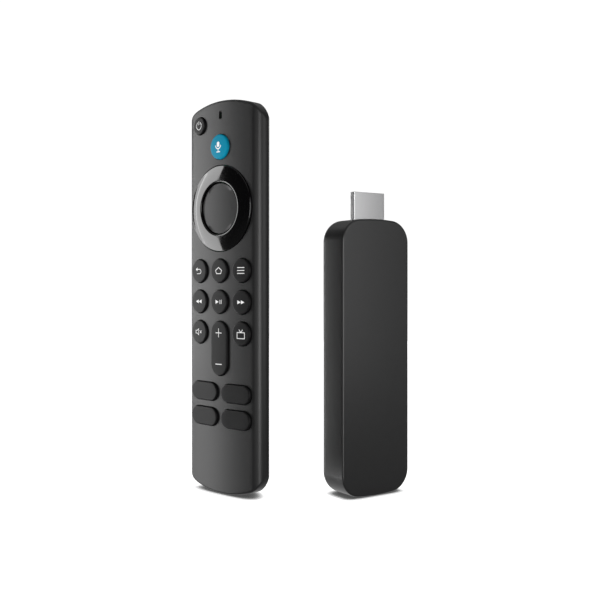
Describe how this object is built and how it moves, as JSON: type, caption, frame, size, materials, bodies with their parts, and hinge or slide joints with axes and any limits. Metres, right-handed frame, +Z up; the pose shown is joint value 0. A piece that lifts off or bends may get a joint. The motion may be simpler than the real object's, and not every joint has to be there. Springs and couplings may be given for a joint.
{
  "type": "streaming media player",
  "caption": "Streaming media stick with an HDMI plug, standing on end beside its voice remote, which has sprung keys, a tilting navigation ring and a sliding battery cover.",
  "frame": {"origin": "middle of the set's footprint on the surface that the two items stand on", "axes": "+X along the set from the remote to the stick, -Y towards the viewer, +Z up along both items; the remote faces front left and the stick front right"},
  "size_m": [0.0802, 0.028, 0.142],
  "materials": {
    "stick_case": "fine matte black",
    "remote_case": "satin charcoal",
    "key_rubber": "matte black rubber",
    "select_plastic": "matte charcoal",
    "voice_blue": "matte blue rubber",
    "ring_gloss": "piano black",
    "plug_metal": "nickel-plated steel",
    "contact_gold": "gold-plated",
    "contact_steel": "plated spring steel",
    "shield_steel": "tinned steel",
    "spreader_metal": "plain",
    "board_green": "solder mask",
    "chip_black": "moulded",
    "black_plastic": "moulded",
    "pad_grey": "soft pad",
    "cell_jacket": "plain printed jacket",
    "emitter_plastic": "dark clear"
  },
  "bodies": {
    "player": {"stick_front_shell": "stick_case", "stick_rear_cover": "stick_case", "hdmi_plug_shell": "plug_metal", "hdmi_insulator": "black_plastic", "hdmi_contacts": "contact_gold", "player_board": "board_green", "processor": "chip_black", "memory_chip": "chip_black", "shield_can": "shield_steel", "thermal_pad": "pad_grey", "heat_spreader": "spreader_metal", "usb_socket_shell": "shield_steel", "usb_tongue": "black_plastic", "wifi_antennas": "contact_gold"},
    "remote": {"remote_front_case": "remote_case", "remote_rear_case": "remote_case", "upper_cell": "cell_jacket", "lower_cell": "cell_jacket", "positive_contact": "contact_steel", "spring_contact": "contact_steel", "remote_board": "board_green", "switch_domes": "contact_steel", "microphone": "contact_gold", "ir_emitter": "emitter_plastic", "radio_chip": "chip_black"},
    "battery_cover": {"battery_cover": "remote_case"},
    "nav_ring": {"nav_ring": "ring_gloss"},
    "nav_carrier": {"nav_carrier": "black_plastic"},
    "volume_rocker": {"volume_rocker": "key_rubber"},
    "select_key": {"select_key": "select_plastic"},
    "power_key": {"power_key": "key_rubber"},
    "voice_key": {"voice_key": "voice_blue"},
    "back_key": {"back_key": "key_rubber"},
    "home_key": {"home_key": "key_rubber"},
    "menu_key": {"menu_key": "key_rubber"},
    "rewind_key": {"rewind_key": "key_rubber"},
    "play_key": {"play_key": "key_rubber"},
    "forward_key": {"forward_key": "key_rubber"},
    "mute_key": {"mute_key": "key_rubber"},
    "guide_key": {"guide_key": "key_rubber"},
    "app_key_1": {"app_key_1": "key_rubber"},
    "app_key_2": {"app_key_2": "key_rubber"},
    "app_key_3": {"app_key_3": "key_rubber"},
    "app_key_4": {"app_key_4": "key_rubber"}
  },
  "joints": [
    {"name": "remote_lift", "type": "slide", "parent": "player", "child": "remote", "axis": [0, 0, 1], "range_m": [0, 0.16]},
    {"name": "battery_cover_slide", "type": "slide", "parent": "remote", "child": "battery_cover", "axis": [0, 0, -1], "range_m": [0, 0.125]},
    {"name": "nav_side_tilt", "type": "hinge", "parent": "remote", "child": "nav_carrier", "pos_m": [-0.02752, -0.00261, 0.103], "axis": [0, 0, 1], "range_deg": [-1.5, 1.5], "stiffness_Nm_per_rad": 0.5},
    {"name": "nav_up_tilt", "type": "hinge", "parent": "nav_carrier", "child": "nav_ring", "pos_m": [-0.02752, -0.00261, 0.103], "axis": [0.7396, -0.673, 0], "range_deg": [-1.5, 1.5], "stiffness_Nm_per_rad": 0.5},
    {"name": "volume_rock", "type": "hinge", "parent": "remote", "child": "volume_rocker", "pos_m": [-0.02738, -0.00247, 0.05252], "axis": [0.7396, -0.673, 0], "range_deg": [-2, 2], "stiffness_Nm_per_rad": 0.2},
    {"name": "select_key_press", "type": "slide", "parent": "remote", "child": "select_key", "axis": [0.673, 0.7396, 0], "range_m": [0, 0.00035], "stiffness_N_per_m": 500},
    {"name": "power_key_press", "type": "slide", "parent": "remote", "child": "power_key", "axis": [0.673, 0.7396, 0], "range_m": [0, 0.00035], "stiffness_N_per_m": 500},
    {"name": "voice_key_press", "type": "slide", "parent": "remote", "child": "voice_key", "axis": [0.673, 0.7396, 0], "range_m": [0, 0.00035], "stiffness_N_per_m": 500},
    {"name": "back_key_press", "type": "slide", "parent": "remote", "child": "back_key", "axis": [0.673, 0.7396, 0], "range_m": [0, 0.00035], "stiffness_N_per_m": 500},
    {"name": "home_key_press", "type": "slide", "parent": "remote", "child": "home_key", "axis": [0.673, 0.7396, 0], "range_m": [0, 0.00035], "stiffness_N_per_m": 500},
    {"name": "menu_key_press", "type": "slide", "parent": "remote", "child": "menu_key", "axis": [0.673, 0.7396, 0], "range_m": [0, 0.00035], "stiffness_N_per_m": 500},
    {"name": "rewind_key_press", "type": "slide", "parent": "remote", "child": "rewind_key", "axis": [0.673, 0.7396, 0], "range_m": [0, 0.00035], "stiffness_N_per_m": 500},
    {"name": "play_key_press", "type": "slide", "parent": "remote", "child": "play_key", "axis": [0.673, 0.7396, 0], "range_m": [0, 0.00035], "stiffness_N_per_m": 500},
    {"name": "forward_key_press", "type": "slide", "parent": "remote", "child": "forward_key", "axis": [0.673, 0.7396, 0], "range_m": [0, 0.00035], "stiffness_N_per_m": 500},
    {"name": "mute_key_press", "type": "slide", "parent": "remote", "child": "mute_key", "axis": [0.673, 0.7396, 0], "range_m": [0, 0.00035], "stiffness_N_per_m": 500},
    {"name": "guide_key_press", "type": "slide", "parent": "remote", "child": "guide_key", "axis": [0.673, 0.7396, 0], "range_m": [0, 0.00035], "stiffness_N_per_m": 500},
    {"name": "app_key_1_press", "type": "slide", "parent": "remote", "child": "app_key_1", "axis": [0.673, 0.7396, 0], "range_m": [0, 0.00035], "stiffness_N_per_m": 500},
    {"name": "app_key_2_press", "type": "slide", "parent": "remote", "child": "app_key_2", "axis": [0.673, 0.7396, 0], "range_m": [0, 0.00035], "stiffness_N_per_m": 500},
    {"name": "app_key_3_press", "type": "slide", "parent": "remote", "child": "app_key_3", "axis": [0.673, 0.7396, 0], "range_m": [0, 0.00035], "stiffness_N_per_m": 500},
    {"name": "app_key_4_press", "type": "slide", "parent": "remote", "child": "app_key_4", "axis": [0.673, 0.7396, 0], "range_m": [0, 0.00035], "stiffness_N_per_m": 500}
  ]
}
